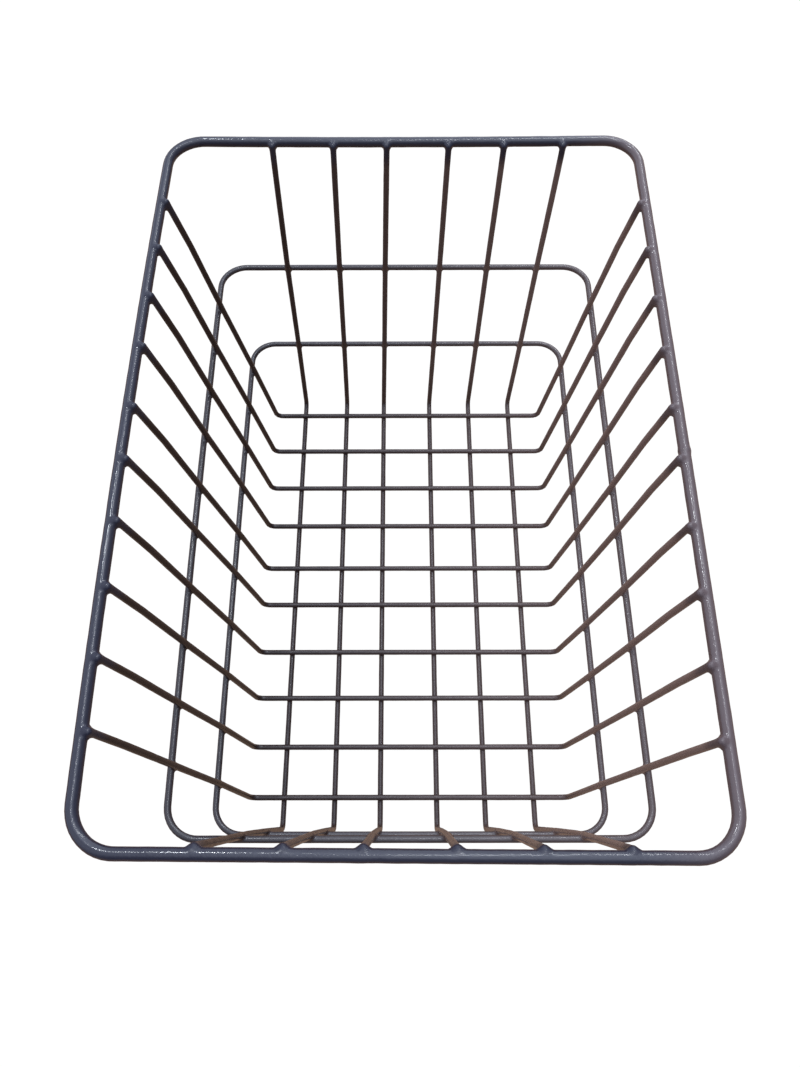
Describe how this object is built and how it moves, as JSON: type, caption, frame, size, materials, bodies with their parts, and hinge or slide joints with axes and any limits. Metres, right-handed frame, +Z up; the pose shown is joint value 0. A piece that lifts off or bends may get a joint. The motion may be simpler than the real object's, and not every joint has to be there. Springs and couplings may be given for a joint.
{
  "type": "wire egg collection basket",
  "caption": "Open rectangular basket of coated welded wire, with a thick rim, two hoops round sloping walls and a square-mesh floor, for collecting and carrying eggs.",
  "frame": {"origin": "on the plane that the basket stands on, under the middle of the rim", "axes": "+Z up, from the floor wires to the mouth; Y along the basket's length, parallel to the long wires; X across its width"},
  "size_m": [0.2552, 0.3652, 0.2119],
  "materials": {
    "rim_coating": "satin to semi-gloss dark slate plastic coating over steel wire",
    "hoop_coating": "satin to semi-gloss dark slate plastic coating over steel wire",
    "wire_coating": "satin to semi-gloss dark slate plastic coating over steel wire"
  },
  "bodies": {
    "root": {"rim_wire": "rim_coating", "middle_hoop": "hoop_coating", "lower_hoop": "hoop_coating", "cross_wire_01": "wire_coating", "cross_wire_02": "wire_coating", "cross_wire_03": "wire_coating", "cross_wire_04": "wire_coating", "cross_wire_05": "wire_coating", "cross_wire_06": "wire_coating", "cross_wire_07": "wire_coating", "cross_wire_08": "wire_coating", "cross_wire_09": "wire_coating", "cross_wire_10": "wire_coating", "long_wire_1": "wire_coating", "long_wire_2": "wire_coating", "long_wire_3": "wire_coating", "long_wire_4": "wire_coating", "long_wire_5": "wire_coating", "long_wire_6": "wire_coating"}
  },
  "joints": []
}
